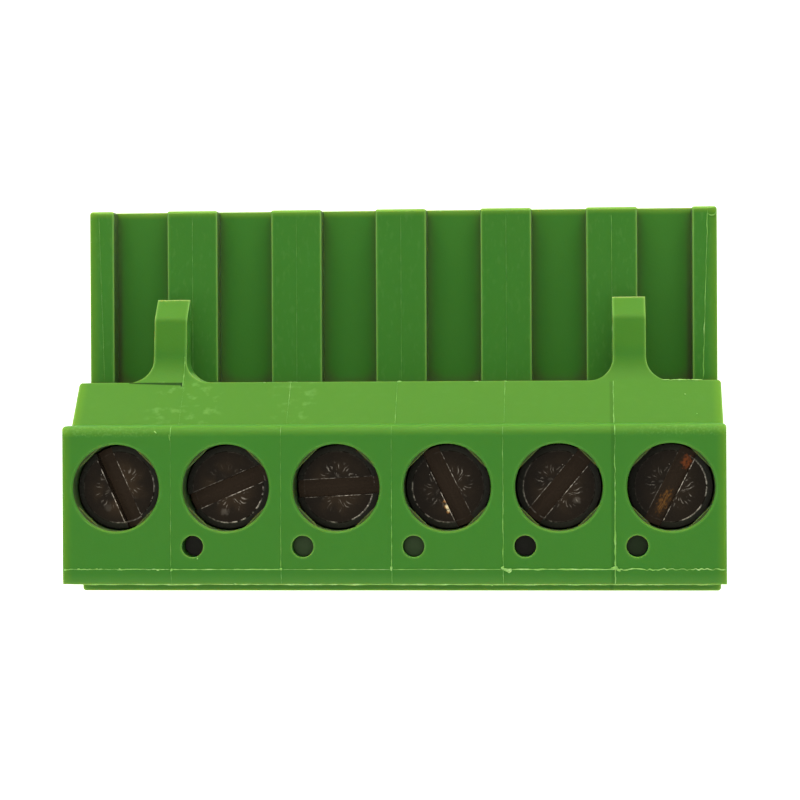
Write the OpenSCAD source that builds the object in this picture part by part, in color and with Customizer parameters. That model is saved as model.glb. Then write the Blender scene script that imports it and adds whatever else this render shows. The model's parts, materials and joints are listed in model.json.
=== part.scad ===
// Removable terminal block: a plug with a row of rising-cage screw clamps.
// X runs along the row, +Y points to the plug nose, +Z points up to the screw heads.
// The origin lies under the middle of the block, on the surface that it stands on.

/* [Row] */
// Number of clamps in the row
poles = 6; // [3:1:12]
// Distance from one clamp to the next
pitch = 5.08; // [5:0.01:6.35]
// How far each end of the row stands back from the half pitch
end_relief = 0.04; // [0:0.01:0.2]

/* [Block] */
// Height of the screw face above the underside
block_h = 15; // [14.4:0.1:18]
// Length of the screw face, from its front wall to its rear edge
face_len = 7.29; // [7:0.01:9]
// Radius along the rear edge of the screw face
face_edge_r = 0.5; // [0.1:0.05:0.6]
// Length of the slight bevel along the front of the screw face
front_bevel_len = 0.7; // [0.2:0.05:1]
// Drop of that bevel at the front wall
front_bevel_drop = 0.2; // [0.05:0.05:0.4]
// Height of the upright step behind the screw face
step_h = 2.45; // [1:0.05:3]
// Length of the slope behind the step
slope_len = 2; // [1:0.1:3]
// Drop of the slope
slope_drop = 1.95; // [1:0.05:2.2]
// Radius along the ends of the block and on its upright corners
edge_r = 0.15; // [0.05:0.05:0.3]

/* [Wire side] */
// How far the wire-entry frame stands out from the front wall
frame_d = 0.65; // [0.3:0.05:1.2]
// Height of the wire-entry frame
frame_h = 10; // [7:0.1:11]
// Width of a funnel's mouth
mouth_w = 4.3; // [3:0.1:4.6]
// Height of a funnel's mouth
mouth_h = 4.6; // [3.2:0.1:5.4]
// Depth over which a funnel narrows
funnel_d = 1.5; // [0.8:0.05:1.7]
// Width of the wire hole behind the funnel
wire_hole_w = 2.6; // [2:0.05:2.8]

/* [Plug nose] */
// Length of the nose in front of the shoulder
nose_len = 8.36; // [7.6:0.02:10]
// Height of the nose from its underside to its rib tops
nose_h = 6.9; // [6.6:0.05:7.4]
// Height of the nose's underside above the block's underside
nose_lift = 1; // [0.6:0.05:1.4]
// Width of a rib
rib_w = 2.48; // [1.6:0.02:3]
// Radius along the edges of a rib and on the corners of its end
rib_r = 0.12; // [0.04:0.02:0.2]
// Depth of the channels between the ribs
channel_d = 1.1; // [0.4:0.05:1.2]
// Chamfer around the end of the nose
tip_chamfer = 0.1; // [0.05:0.05:0.4]
// Width of the slight bevel along the outer rib edges, at the end of the nose
bevel_tip = 0.45; // [0.2:0.05:0.6]
// Width of the same bevel at the shoulder
bevel_root = 0.7; // [0.6:0.05:1]
// Drop of that bevel at the shoulder
bevel_drop = 0.1; // [0.02:0.02:0.3]
// Width of the lead-in around a pin socket
lead_in = 0.4; // [0.1:0.05:0.45]

/* [Grip fingers] */
// Width of a finger
finger_w = 1.56; // [1:0.02:2]
// Length of a finger in front of the shoulder
finger_len = 4; // [3.4:0.05:6]
// Thickness of a finger behind the bevel at its tip
finger_t = 1; // [0.6:0.05:1.2]
// Radius of the hollow curve through which the slope runs out into a finger
finger_blend = 2.4; // [1.6:0.1:3]
// Angle at which a finger still falls towards its tip
finger_fall = 8; // [2:1:12]
// Radius where a finger's sides meet the shoulder
finger_fillet = 1.1; // [0.4:0.05:1.4]
// Length of the bevel at a finger's tip
finger_bevel = 0.94; // [0.3:0.02:1.2]
// Radius where a finger's top turns down into that bevel
finger_round = 0.45; // [0.1:0.05:0.5]
// Height of the catch under a finger's tip
catch_h = 0.3; // [0.1:0.05:0.4]
// Length of the catch
catch_len = 1; // [0.6:0.05:1.4]

/* [Contact] */
// Width of the contact bar
bar_w = 2.9; // [2.6:0.05:3.2]
// Thickness of the contact bar
bar_t = 0.8; // [0.5:0.05:1]
// Height of the two spring blades
blade_h = 2.4; // [2:0.05:2.6]
// Thickness of a spring blade
blade_t = 0.5; // [0.3:0.05:0.6]
// Gap between the blades where they grip a pin
pin_gap = 1; // [0.6:0.05:1.1]
// How far the blades flare beside the grip, each way
blade_flare = 0.3; // [0.1:0.05:0.35]
// Distance from the end of the nose back to the grip
nip_depth = 3; // [2.4:0.1:3.6]
// Distance from the end of the nose back to the blade ends
blade_depth = 1.3; // [0.8:0.1:1.8]
// Length over which the bar reaches past the shoulder
bar_reach = 0.5; // [0.2:0.05:1]

/* [Clamp cage] */
// Clear height for a wire under the bar while the cage is down
wire_room = 3; // [2.6:0.05:3.4]
// Size of the cage along the wire
cage_len = 3.8; // [3.4:0.05:4]
// Thickness of the cage's side walls
cage_wall = 0.4; // [0.3:0.05:0.5]
// Thickness of the cage's floor
cage_floor = 0.9; // [0.6:0.05:1]
// Thickness of the threaded wall over the bar
cage_roof = 1.9; // [1.4:0.05:2.1]
// Outer corner radius of the cage
cage_r = 0.5; // [0.2:0.05:0.6]
// Width of a grip groove in the cage's floor
groove_w = 0.3; // [0.1:0.05:0.4]
// Depth of a grip groove
groove_d = 0.15; // [0.05:0.05:0.3]
// Number of grip grooves
grooves = 3; // [1:1:4]

/* [Clamp screw] */
// Distance from the front wall to the row of screws
screw_inset = 4.435; // [4.4:0.005:5]
// Diameter of the screw's shank
shank_d = 2.9; // [2.4:0.05:3]
// Diameter of the screw's head
head_d = 3.84; // [3.7:0.02:3.9]
// Height of the screw's head
head_h = 1.8; // [1.4:0.05:2]
// Depth of the head below the screw face
head_sink = 0.9; // [0.7:0.05:1.1]
// Chamfer around the head
head_chamfer = 0.28; // [0.1:0.02:0.4]
// Chamfer at the shank's tip
shank_chamfer = 0.15; // [0.05:0.05:0.25]
// Width of the driver slot
slot_w = 0.8; // [0.5:0.05:1]
// Depth of the driver slot
slot_d = 0.9; // [0.5:0.05:1.2]
// Height of the four flats that keep a screw in its shaft
keeper_h = 0.3; // [0.1:0.05:0.4]
// Overlap of a flat with the edge of the head
keeper_bite = 0.04; // [0.01:0.01:0.08]
// Chamfer around the mouth of a screw shaft
rim = 0.08; // [0.02:0.01:0.15]

/* [Test holes] */
// Diameter of a test hole
probe_d = 1; // [0.6:0.05:1.1]
// Distance from the screw's axis to the left
probe_side = 1.54; // [1.3:0.02:1.7]
// Distance from the front wall back to the test hole
probe_inset = 1.75; // [1.6:0.05:1.8]

/* [Clearances] */
// Radial clearance of the shank in the cage's thread
thread_clear = 0.05; // [0.02:0.01:0.1]
// Radial clearance of the screw in the housing
shaft_clear = 0.08; // [0.04:0.02:0.12]
// Clearance of the cage beside each wall of its chamber
slide_clear = 0.09; // [0.05:0.01:0.1]
// Clearance of the bar on each side inside the cage
bar_clear = 0.1; // [0.05:0.01:0.15]
// Clearance between the bar and the cage's roof while the cage is down
roof_clear = 0.2; // [0.1:0.05:0.3]
// Gap that is left under the bar when the cage is up
close_gap = 0.2; // [0.1:0.05:0.4]
// Gap over the cage when it is up
chamber_clear = 0.3; // [0.2:0.05:0.4]
// Gap between the screw's tip and the bar
tip_clear = 0.08; // [0.04:0.02:0.12]
// Gap under the screw's head
head_clear = 0.3; // [0.1:0.05:0.4]
// Clearance around the contact in its pocket
seat_clear = 0.05; // [0.02:0.01:0.08]
// Clearance over and under the spring blades in their socket
socket_clear = 0.3; // [0.1:0.05:0.35]

/* [Hidden] */
$fn = 64;
// How far a cut runs past the face that it opens
over = 1;

// Along the row
row_w = poles * pitch - 2 * end_relief;
finger_x = (poles / 2 - 1) * pitch;

// From the wire side to the end of the nose
face_end = frame_d + face_len;
shoulder = face_end + slope_len;
length = shoulder + nose_len;
screw_y = frame_d + screw_inset;
probe_y = frame_d + probe_inset;
chamber_len = cage_len + 2 * slide_clear;
chamber_front = screw_y - chamber_len / 2;
chamber_rear = screw_y + chamber_len / 2;
bar_front = probe_y - probe_d / 2;
bar_end = shoulder + bar_reach;

// From the underside up
nose_top = nose_lift + nose_h;
channel_z = nose_top - channel_d;
slope_z = block_h - step_h - slope_drop;
pin_z = nose_lift + nose_h / 2;
bar_top = pin_z + blade_h / 2;
bar_z = bar_top - bar_t;
floor_z = bar_z - wire_room;
wire_z = bar_z - wire_room / 2;
cage_z = floor_z - cage_floor;
cage_h = cage_floor + wire_room + bar_t + roof_clear + cage_roof;
travel = wire_room - close_gap;
chamber_top = cage_z + cage_h + travel + chamber_clear;
head_top = block_h - head_sink;
head_z = head_top - head_h;
tip_z = bar_top + tip_clear;

// Across one clamp
cage_inner_w = bar_w + 2 * bar_clear;
cage_w = cage_inner_w + 2 * cage_wall;
chamber_w = cage_w + 2 * slide_clear;
socket_w = bar_w + 2 * seat_clear;
socket_h = blade_h + 2 * socket_clear;
shaft_r = head_d / 2 + shaft_clear;
neck_r = shank_d / 2 + shaft_clear;
keeper_r = head_d / 2 - keeper_bite;
keeper_z = (head_top + block_h - keeper_h) / 2;

// Angle of each screw's slot from the row, as the screws were left
slot_turns = [114, 23, 3, 116, 50, 63];

function pole_x(i) = (i - (poles + 1) / 2) * pitch;

// Moves what is drawn from the wire side, at Y = 0, to the middle of the block
module in_frame() {
  translate([0, -length / 2, 0]) children();
}

// Moves what is drawn around X = 0 to clamp i
module at_pole(i) {
  in_frame() translate([pole_x(i), 0, 0]) children();
}

// Extrudes a side view, drawn as Y and Z, to both sides of X = 0
module side_view(w) {
  rotate([90, 0, 90]) linear_extrude(w, center = true) children();
}

// Extrudes a front view, drawn as X and Z, along Y from y0 to y1
module front_view(y0, y1) {
  translate([0, y1, 0]) rotate([90, 0, 0]) linear_extrude(y1 - y0) children();
}

// A box that is centred on X, from its low front edge
module block(w, y0, y1, z0, z1) {
  translate([-w / 2, y0, z0]) cube([w, y1 - y0, z1 - z0]);
}

// A four-sided funnel along +Y from y0, centred on height z
module funnel(w0, h0, w1, h1, y0, d, z) {
  big = max(w0, h0, w1, h1) + over;
  translate([0, y0, z]) intersection() {
    linear_extrude(big, center = true)
      polygon([[-w0 / 2, 0], [w0 / 2, 0], [w1 / 2, d], [-w1 / 2, d]]);
    side_view(big)
      polygon([[0, -h0 / 2], [d, -h1 / 2], [d, h1 / 2], [0, h0 / 2]]);
  }
}

// A rectangle with round corners, centred on X, standing on Y = 0
module rounded(w, h, r) {
  translate([-w / 2 + r, 0]) square([w - 2 * r, h]);
  translate([-w / 2, r]) square([w, h - 2 * r]);
  for (x = [-w / 2 + r, w / 2 - r], y = [r, h - r]) translate([x, y]) circle(r);
}

// What a round edge of radius r takes off a corner at the origin, towards -X and -Y
module corner_cut(r) {
  translate([-r, -r]) difference() {
    square(r + over);
    circle(r);
  }
}

// Side view of the block and its nose
module body_outline() {
  difference() {
    polygon([
      [0, 0],
      [0, frame_h],
      [frame_d, frame_h],
      [frame_d, block_h - front_bevel_drop],
      [frame_d + front_bevel_len, block_h],
      [face_end, block_h],
      [face_end, block_h - step_h],
      [shoulder, slope_z],
      [shoulder, nose_top],
      [length - tip_chamfer, nose_top],
      [length, nose_top - tip_chamfer],
      [length, nose_lift + tip_chamfer],
      [length - tip_chamfer, nose_lift],
      [shoulder, nose_lift],
      [shoulder, 0]
    ]);
    translate([face_end, block_h]) corner_cut(face_edge_r);
  }
}

// The block and its nose, with round edges along both ends and on the upright corners
module body() {
  slope_top = block_h - step_h;
  difference() {
    intersection() {
      side_view(row_w) body_outline();
      linear_extrude(block_h) rounded(row_w, length, edge_r);
      front_view(0, length) rounded(row_w, block_h, edge_r);
    }
    for (side = [0, 1]) mirror([side, 0, 0]) {
      translate([row_w / 2, face_end, slope_top])
        linear_extrude(step_h + over) corner_cut(edge_r);
      translate([row_w / 2, shoulder, nose_top])
        linear_extrude(slope_top - nose_top) corner_cut(edge_r);
    }
  }
}

// A channel between two ribs, which have round edges and round corners at the end of the nose
module channel() {
  w = pitch - rib_w;
  front_view(shoulder, length + over) {
    translate([-w / 2, channel_z]) square([w, channel_d + over]);
    for (side = [0, 1]) mirror([side, 0, 0])
      translate([w / 2, nose_top]) mirror([1, 0]) corner_cut(rib_r);
  }
  translate([0, 0, channel_z]) linear_extrude(channel_d + over)
    for (side = [0, 1]) mirror([side, 0, 0])
      translate([w / 2, length]) mirror([1, 0]) corner_cut(rib_r);
}

// Side view of a grip finger: the slope runs out into its top through a hollow curve
module finger_outline() {
  slope = atan2(slope_drop, slope_len);
  blend = [shoulder + finger_blend * sin(slope), slope_z + finger_blend * cos(slope)];
  top = blend - finger_blend * [sin(finger_fall), cos(finger_fall)];
  tip = shoulder + finger_len;
  bevel_y = tip - finger_bevel;
  bevel_z = top.y - (bevel_y - top.x) * tan(finger_fall);
  under = bevel_z - finger_t;
  bevel_fall = atan2(finger_t, finger_bevel);
  turn_r = min(finger_round, finger_t / 2);
  turn_len = turn_r * tan((bevel_fall - finger_fall) / 2);
  turn_start = [bevel_y, bevel_z] - turn_len * [cos(finger_fall), -sin(finger_fall)];
  turn_end = [bevel_y, bevel_z] + turn_len * [cos(bevel_fall), -sin(bevel_fall)];
  difference() {
    polygon([
      [face_end, under],
      [face_end, slope_z],
      [top.x, slope_z],
      top,
      turn_start,
      turn_end,
      [tip, under],
      [tip - catch_len / 2, under - catch_h],
      [tip - catch_len, under - catch_h],
      [tip - catch_len, under]
    ]);
    translate(blend) circle(finger_blend);
  }
  translate(turn_start - turn_r * [sin(finger_fall), cos(finger_fall)]) circle(turn_r);
}

// Plan of a grip finger, from its inner edge outwards, with its fillets at the shoulder
module finger_plan() {
  translate([0, face_end]) square([finger_w, slope_len + finger_len]);
  difference() {
    translate([-finger_fillet, face_end])
      square([finger_w + 2 * finger_fillet, slope_len + finger_fillet]);
    for (x = [-finger_fillet, finger_w + finger_fillet])
      translate([x, shoulder + finger_fillet]) circle(finger_fillet);
  }
}

module finger() {
  translate([finger_x, 0, 0]) intersection() {
    linear_extrude(block_h) finger_plan();
    translate([finger_w / 2, 0, 0])
      side_view(finger_w + 2 * finger_fillet + over) finger_outline();
  }
}

// Wedge that cuts the tapered bevel along the outer rib edge on the +X side
module end_bevel() {
  taper = atan((bevel_root - bevel_tip) / nose_len);
  fall = atan(bevel_drop / bevel_root);
  intersection() {
    translate([row_w / 2 - bevel_root, shoulder, nose_top])
      rotate([0, fall, -taper])
      translate([0, -over, 0]) cube([bevel_root + over, nose_len + 2 * over, bevel_root]);
    block(2 * row_w, shoulder, length + over, nose_lift, block_h);
  }
}

// The round shaft that a screw sits in, with the flats that keep it there
module screw_shaft() {
  difference() {
    translate([0, 0, head_z - head_clear])
      cylinder(r = shaft_r, h = block_h + over - head_z + head_clear);
    for (turn = [45 : 90 : 315])
      rotate([0, 0, turn])
      translate([keeper_r, -shaft_r, keeper_z])
      cube([shaft_r, 2 * shaft_r, keeper_h]);
  }
  translate([0, 0, block_h - rim]) cylinder(r1 = shaft_r, r2 = shaft_r + rim, h = rim);
  translate([0, 0, chamber_top - over])
    cylinder(r = neck_r, h = head_z - chamber_top + over);
}

// All the hollows of one clamp
module clamp_hollows() {
  translate([0, screw_y, 0]) screw_shaft();
  // The cage's chamber, open at the underside
  block(chamber_w, chamber_front, chamber_rear, -over, chamber_top);
  // The wire's funnel and hole, and the pocket of the bar's end above them
  funnel(mouth_w, mouth_h, wire_hole_w, wire_room, 0, funnel_d, wire_z);
  block(wire_hole_w, funnel_d, screw_y, floor_z, bar_z);
  block(socket_w, bar_front - seat_clear, screw_y, bar_z, bar_top + seat_clear);
  // The contact's seat and the pin socket in the nose
  block(socket_w, screw_y, bar_end, pin_z - blade_h / 2 - seat_clear, bar_top + seat_clear);
  block(socket_w, bar_end, length + over, pin_z - socket_h / 2, pin_z + socket_h / 2);
  funnel(socket_w, socket_h, socket_w + 2 * lead_in, socket_h + 2 * lead_in,
    length - lead_in, lead_in, pin_z);
}

module housing() {
  color("#437f2d") in_frame() difference() {
    union() {
      difference() {
        body();
        for (i = [1 : poles]) translate([pole_x(i), 0, 0]) channel();
        for (side = [0, 1]) mirror([side, 0, 0]) end_bevel();
      }
      for (side = [0, 1]) mirror([side, 0, 0]) finger();
    }
    for (i = [1 : poles]) translate([pole_x(i), 0, 0]) {
      clamp_hollows();
      // The clamp at the left end has no room for a test hole
      if (i > 1) translate([-probe_side, probe_y, bar_top])
        cylinder(d = probe_d, h = block_h);
    }
  }
}

// One spring blade in plan, on the +X side
module blade_plan() {
  root_x = bar_w / 2 - blade_t / 2;
  grip_x = (pin_gap + blade_t) / 2;
  path = [
    [root_x, chamber_rear],
    [root_x, bar_end],
    [grip_x, length - nip_depth],
    [grip_x + blade_flare, length - blade_depth]
  ];
  last = len(path) - 1;
  polygon(concat(
    [for (p = path) [p.x + blade_t / 2, p.y]],
    [for (k = [last : -1 : 0]) [path[k].x - blade_t / 2, path[k].y]]
  ));
}

module contact(i) {
  color("#c9c3b2") at_pole(i) {
    block(bar_w, bar_front, bar_end, bar_z, bar_top);
    for (side = [0, 1]) mirror([side, 0, 0])
      translate([0, 0, bar_top - blade_h]) linear_extrude(blade_h) blade_plan();
  }
}

module cage(i) {
  groove_step = cage_len / (grooves + 1);
  color("#b5b0a4") at_pole(i) difference() {
    translate([0, screw_y + cage_len / 2, cage_z]) rotate([90, 0, 0])
      linear_extrude(cage_len) difference() {
        rounded(cage_w, cage_h, cage_r);
        translate([0, cage_floor])
          rounded(cage_inner_w, cage_h - cage_floor - cage_roof, cage_r / 2);
      }
    translate([0, screw_y, cage_z + cage_h - cage_roof - over])
      cylinder(d = shank_d + 2 * thread_clear, h = cage_roof + 2 * over);
    for (k = [1 : grooves])
      translate([0, screw_y - cage_len / 2 + k * groove_step, 0])
      block(wire_hole_w, -groove_w / 2, groove_w / 2, floor_z - groove_d, floor_z + over);
  }
}

module screw(i) {
  head_r = head_d / 2;
  shank_r = shank_d / 2;
  color("#3a2e22") at_pole(i) translate([0, screw_y, 0])
    rotate([0, 0, slot_turns[(i - 1) % len(slot_turns)]]) difference() {
      rotate_extrude() polygon([
        [0, tip_z],
        [shank_r - shank_chamfer, tip_z],
        [shank_r, tip_z + shank_chamfer],
        [shank_r, head_z],
        [head_r, head_z],
        [head_r, head_top - head_chamfer],
        [head_r - head_chamfer, head_top],
        [0, head_top]
      ]);
      translate([-head_d, -slot_w / 2, head_top - slot_d]) cube([2 * head_d, slot_w, slot_d + over]);
    }
}

housing();
for (i = [1 : poles]) {
  contact(i);
  cage(i);
  screw(i);
}
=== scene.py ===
"""Looks of a removable terminal block: its green moulding and flash, its screws and clamps, and a studio.

Lengths in the code are millimetres, and MM turns them into Blender's metres. Properties hold metres.
"""
import json
import math
from collections import namedtuple

import bmesh
import bpy
import numpy as np
from bpy.props import FloatProperty, FloatVectorProperty, IntProperty, PointerProperty
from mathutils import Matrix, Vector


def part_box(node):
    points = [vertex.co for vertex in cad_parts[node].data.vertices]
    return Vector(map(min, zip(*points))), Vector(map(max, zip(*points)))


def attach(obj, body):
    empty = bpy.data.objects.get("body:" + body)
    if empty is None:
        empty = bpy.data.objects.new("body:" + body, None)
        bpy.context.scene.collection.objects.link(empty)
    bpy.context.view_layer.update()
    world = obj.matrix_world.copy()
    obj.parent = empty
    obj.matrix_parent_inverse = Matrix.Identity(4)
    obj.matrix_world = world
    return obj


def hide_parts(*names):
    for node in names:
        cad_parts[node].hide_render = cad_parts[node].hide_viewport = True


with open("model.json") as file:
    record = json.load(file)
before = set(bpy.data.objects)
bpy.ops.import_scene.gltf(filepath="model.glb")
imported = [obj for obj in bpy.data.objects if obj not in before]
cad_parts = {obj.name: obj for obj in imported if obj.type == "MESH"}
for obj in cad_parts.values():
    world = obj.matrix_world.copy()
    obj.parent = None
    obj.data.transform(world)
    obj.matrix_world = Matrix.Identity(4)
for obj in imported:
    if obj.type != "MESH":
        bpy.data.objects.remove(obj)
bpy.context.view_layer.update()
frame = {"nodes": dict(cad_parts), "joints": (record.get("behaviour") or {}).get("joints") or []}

bl_info = {
    "name": "Removable terminal block",
    "version": (1, 0, 0),
    "blender": (4, 5, 0),
    "location": "View3D > Sidebar > Terminal Block",
    "description": "Dresses the terminal block with its plastic, mould flash, screws, clamps and studio",
    "category": "Object",
}

MM = 0.001

# Places that the frame gives
LOW, HIGH = (np.array(corner_shade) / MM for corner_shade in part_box("housing"))
AXES = {j["child"]: np.array(j["pos_m"]) / MM for j in frame["joints"] if j["type"] == "hinge"}
POLES = len(AXES)
NUMBERS = range(1, POLES + 1)
PITCH = AXES["screw_2"][0] - AXES["screw_1"][0]
SEAM_X = PITCH * (np.arange(1, POLES) - POLES / 2)
SCREW_LOW, SCREW_HIGH = (np.array(corner_shade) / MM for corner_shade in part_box("screw_1"))
HEAD_TOP = SCREW_HIGH[2]
HEAD_RADIUS = (SCREW_HIGH[0] - SCREW_LOW[0]) / 2

# Sizes of the moulding and the screws that the frame's boxes don't give
FRAME_DEPTH = 0.65
FACE_LENGTH = 7.29
BEVEL_LENGTH = 0.7
BEVEL_DROP = 0.2
FACE_EDGE = 0.5
STEP_HEIGHT = 2.45
SLOPE_LENGTH = 2.0
SLOPE_DROP = 1.95
FINGER_BLEND = 2.4
NOSE_TOP = 7.9
RIB_WIDTH = 2.48
END_BEVEL_TIP = 0.45
END_BEVEL_ROOT = 0.7
PROBE_RADIUS = 0.5
PROBE_SIDE = 1.54
PROBE_INSET = 1.75
SHAFT_RADIUS = 2.0
HEAD_HEIGHT = 1.8
HEAD_CHAMFER = 0.28
SHANK_RADIUS = 1.45
SHANK_CHAMFER = 0.15
SLOT_HALF = 0.4
SLOT_DEPTH = 0.9
PLASTIC_IOR = 1.5

# The side view's corners, from the wire side to the end of the nose
FRONT_WALL = LOW[1] + FRAME_DEPTH
FACE_START = FRONT_WALL + BEVEL_LENGTH
FACE_END = FRONT_WALL + FACE_LENGTH
SHOULDER = FACE_END + SLOPE_LENGTH
FACE_Z = HIGH[2]
FRONT_Z = FACE_Z - BEVEL_DROP
SLOPE_Z = FACE_Z - STEP_HEIGHT
FOOT_Z = SLOPE_Z - SLOPE_DROP

# The inner edge of the last rib at each end of the row, and the edge of a screw head's flat
OUTER_RIB = POLES / 2 * PITCH - RIB_WIDTH / 2
FLAT_RADIUS = HEAD_RADIUS - HEAD_CHAMFER
# Points closer than this are one place
NEAR = 0.0005

# How each screw was left: its slot's turn in degrees, how brown its head is, the wear and painted
# highlight of the slot's two edges and the strength of the scratches beside them (left and right, seen
# along the slot), the turn and strength of the painted highlight on part of its rim, how much
# copper-coloured metal its slot shows, and the place and strength of a pale smudge on its head
Marks = namedtuple("Marks", "turn brown edges bursts rim_turn rim copper smudge")
SCREW_MARKS = (
    Marks(114, 1.0, (1.0, 0.45), (0.5, 0.7), -35, 0.5, 0.0, (-0.5, -0.95, 0.5)),
    Marks(23, 0.7, (0.25, 0.8), (0.1, 1.0), -50, 1.0, 0.0, (-0.16, -1.15, 1.0)),
    Marks(3, 0.6, (0.35, 0.4), (0.7, 0.5), -40, 0.7, 0.0, (0.0, 0.0, 0.0)),
    Marks(116, 0.35, (0.9, 0.4), (0.35, 0.9), 215, 0.4, 0.0, (0.0, 0.0, 0.0)),
    Marks(50, 0.5, (0.5, 0.6), (0.5, 0.8), 200, 0.3, 0.0, (0.82, -0.63, 0.9)),
    Marks(63, 0.25, (0.2, 1.0), (0.4, 0.9), -15, 0.9, 1.0, (0.0, 0.0, 0.0)),
)
# The screw with a painted golden glint on its slot's edge, and the glint's place along its slot
GLINTED_SCREW = 4
GLINT_ALONG = -0.88
# How strongly the flash stands out between each clamp and the next, on the face, on its rear edge, on the
# ribs and on the slope, and how it grows up the slope
FACE_SEAMS = (0.25, 0.35, 0.45, 0.6, 1.1)
EDGE_SEAMS = (0.6, 0.25, 0.2, 0.25, 0.8)
RIB_SEAMS = (0.2, 0.2, 0.2, 0.2, 0.3)
SLOPE_SEAMS = ((0.05, 0.0), (0.25, -0.7), (0.3, 0.3), (0.35, -0.8), (0.7, 0.0))
# How strongly it stands out along the front of each clamp's face, and how far it wanders there
FRONT_SEAMS = ((0.55, 1.6), (0.75, 0.4), (0.4, 0.8), (0.45, 0.8), (0.95, 0.6), (0.9, 2.4))
# Flash at the foot of the slope: where each line starts and ends along the row, its strength, its knots
# and how far it wanders
FOOT_SEAMS = ((12.4, 14.38, 1.4, 24, 0.2), (-5.3, -4.75, 0.5, 8, 1.0))
# Blobs of flash on the face: place along the row, place from the face's front, half sizes and turn
BLOBS = (
    (-15.05, -0.02, 0.07, 0.04, 30),
    (-14.43, 0.01, 0.07, 0.04, 0),
    (-13.6, 0.02, 0.05, 0.03, 10),
    (-12.5, 0.0, 0.08, 0.03, -20),
    (-10.75, -0.03, 0.06, 0.03, 10),
    (-10.13, -0.02, 0.07, 0.05, 70),
    (-5.08, 0.02, 0.07, 0.05, 20),
    (-0.02, 0.05, 0.09, 0.06, 80),
    (5.2, -0.02, 0.2, 0.06, -25),
    (5.38, -0.06, 0.12, 0.07, 35),
    (5.05, 0.08, 0.08, 0.06, 60),
    (10.12, 0.06, 0.14, 0.09, 10),
    (10.3, -0.02, 0.1, 0.06, -20),
)
# Grains on the moulding: place along the row, place from the front wall, half sizes and turn
GRAINS = (
    (-10.85, 7.0, 0.07, 0.025, -50),
    (-10.2, 6.75, 0.02, 0.14, 5),
    (-8.93, 1.2, 0.045, 0.035, 0),
    (-7.2, 0.02, 0.06, 0.04, 0),
    (4.55, -0.02, 0.05, 0.04, 20),
    (-7.2, 0.7, 0.05, 0.03, 0),
    (13.5, 8.62, 0.035, 0.04, 0),
    (14.0, 7.72, 0.035, 0.03, 0),
    (-6.33, 9.27, 0.06, 0.025, 0),
    (3.7, 9.27, 0.12, 0.03, 10),
)
# Nubs of flash at the foot of the slope: place along the row and half sizes
NUBS = ((-5.08, 0.07, 0.04), (0.07, 0.14, 0.055), (5.11, 0.09, 0.04))
# Scuffed places on the slope: their middles and half widths along the row
SCUFFS = ((-10.0, 1.4), (-4.8, 0.7))
# Scuffs on the face's rear edge: how far from the middle of the row they start, and where they are full
REAR_SCUFFS = (9.5, 12.5)
# A step in the moulding under the left finger, painted as a line of shade: where that line starts and
# ends along the row, and where the seam that rises beside it starts and ends from the middle of the block
STEP_START = -12.8
STEP_END = -10.27
STEP_SEAM = (0.62, 2.05)
# Test holes with a sheet of painted shade and dim light in them: which one, and how deep the sheet lies
HOLE_SHADE_SHEETS = ((1, 1.15), (2, 0.7), (3, 0.7), (4, 1.15), (5, 0.95))
SHADE_SHEET_THICKNESS = 0.06
# The places and the size of the low lights, in metres
BACK_LIGHT = (0.0, 0.22, 0.08)
FRONT_LIGHT = (0.0, -0.22, 0.07)
LIGHT_SIZE = (0.3, 0.1)
# How bright the dome is, from straight below to overhead
DOME_LEVELS = ((0.0, 0.25), (0.35, 0.55), (0.6, 0.8), (0.74, 0.75), (0.9, 0.45), (1.0, 0.35))
# The floor: half its width, how far it lies under the block, and the cells along each side
FLOOR_HALF = 1500.0
FLOOR_DROP = 0.02
FLOOR_CELLS = 4


def colour(name, description, default):
    """A colour property with its default in linear red, green and blue."""
    return FloatVectorProperty(name=name, description=description, subtype="COLOR", size=4,
                               default=(*default, 1.0), min=0.0, max=1.0)


def length(name, description, default):
    """A length property; its default is given in millimetres."""
    return FloatProperty(name=name, description=description, default=default * MM, min=0.0,
                         unit="LENGTH", precision=6)


def factor(name, description, default):
    """A property from 0 to 1."""
    return FloatProperty(name=name, description=description, default=default, min=0.0, max=1.0,
                         subtype="FACTOR")


class PlasticLook(bpy.types.PropertyGroup):
    """The green moulding."""

    base: colour("Plastic", "Colour of the moulding", (0.0475, 0.177, 0.024))
    cloud: colour("Cloud", "Colour that clouds the plastic", (0.043, 0.187, 0.0235))
    # Painted warm light on the surfaces that slope to the rear and face the back light
    slope_light: colour("Slope light", "Colour of the surfaces that slope to the rear", (0.06, 0.189, 0.0205))
    # Painted shade in the moulding's inner corners
    corner_shade: colour("Corner", "Colour in the moulding's inner corners", (0.076, 0.093, 0.038))
    thin: colour("Thin edge", "Colour of the edges that light comes through", (0.16, 0.34, 0.08))
    end: colour("End", "Colour at the outer ends, where light comes through", (0.125, 0.285, 0.016))
    # Painted shade down the screw shafts, on the ribs' walls and in the channels' outer corners
    shaft_shade: colour("Shaft", "Colour in the screw shafts and of grime", (0.049, 0.054, 0.028))
    # Painted shade in the step under a finger and beside the last seam
    gap: colour("Gap", "Colour in the narrow step under a finger", (0.006, 0.035, 0.003))
    # Painted highlight on rubbed convex edges, and the colour of real scuffs and specks
    wear_and_highlight: colour("Scuff", "Colour of scuffs and rubbed edges", (0.22, 0.45, 0.13))
    roughness: factor("Roughness", "Roughness of the moulded surface", 0.45)
    gloss: factor("Gloss", "Strength of the plastic's reflections", 0.04)
    glow: length("Glow depth", "How far light spreads inside the plastic", 0.5)
    edge: length("Edge", "Radius of the smallest edges", 0.05)
    thin_size: length("Thin edge size", "How far the colour of thin edges reaches", 0.13)
    end_size: length("End size", "How far the colour at the outer ends reaches", 0.55)
    # How far the painted shade in inner corners reaches
    corner_shade_reach: length("Corner size", "How far the corner colour reaches", 0.8)


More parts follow.
